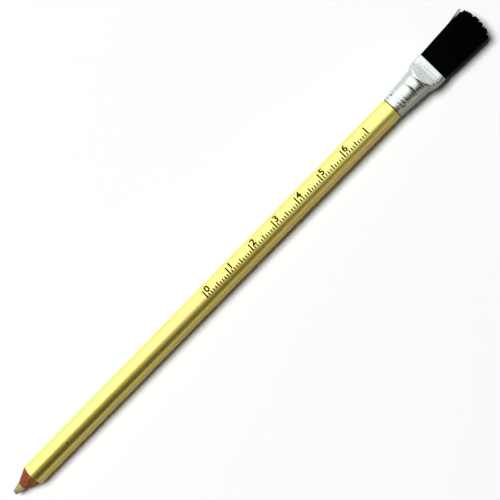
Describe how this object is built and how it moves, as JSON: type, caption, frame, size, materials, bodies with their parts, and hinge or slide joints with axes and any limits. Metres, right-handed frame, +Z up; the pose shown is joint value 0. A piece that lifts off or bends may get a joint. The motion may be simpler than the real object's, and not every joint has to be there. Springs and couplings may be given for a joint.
{
  "type": "eraser pencil with brush",
  "caption": "Round wood-cased eraser pencil with a sharpened abrasive eraser core and, on its other end, a flared metal ferrule holding a flat dusting brush.",
  "frame": {"origin": "on the surface that the pencil lies on, half way along its length, under its axis", "axes": "+X along the pencil from the eraser tip to the brush, +Y across the width of the flat brush, +Z up"},
  "size_m": [0.2034, 0.0119, 0.0094],
  "materials": {
    "casing_wood": "matte",
    "eraser_compound": "matte",
    "pearl_lacquer": "gloss",
    "ferrule_aluminium": "satin",
    "set_resin": "gloss",
    "black_bristle": "satin"
  },
  "bodies": {
    "root": {"slat_upper": "casing_wood", "slat_lower": "casing_wood", "eraser_core": "eraser_compound", "lacquer_coat": "pearl_lacquer", "ferrule": "ferrule_aluminium", "root_plug": "set_resin", "bristle_tuft": "black_bristle"}
  },
  "joints": []
}
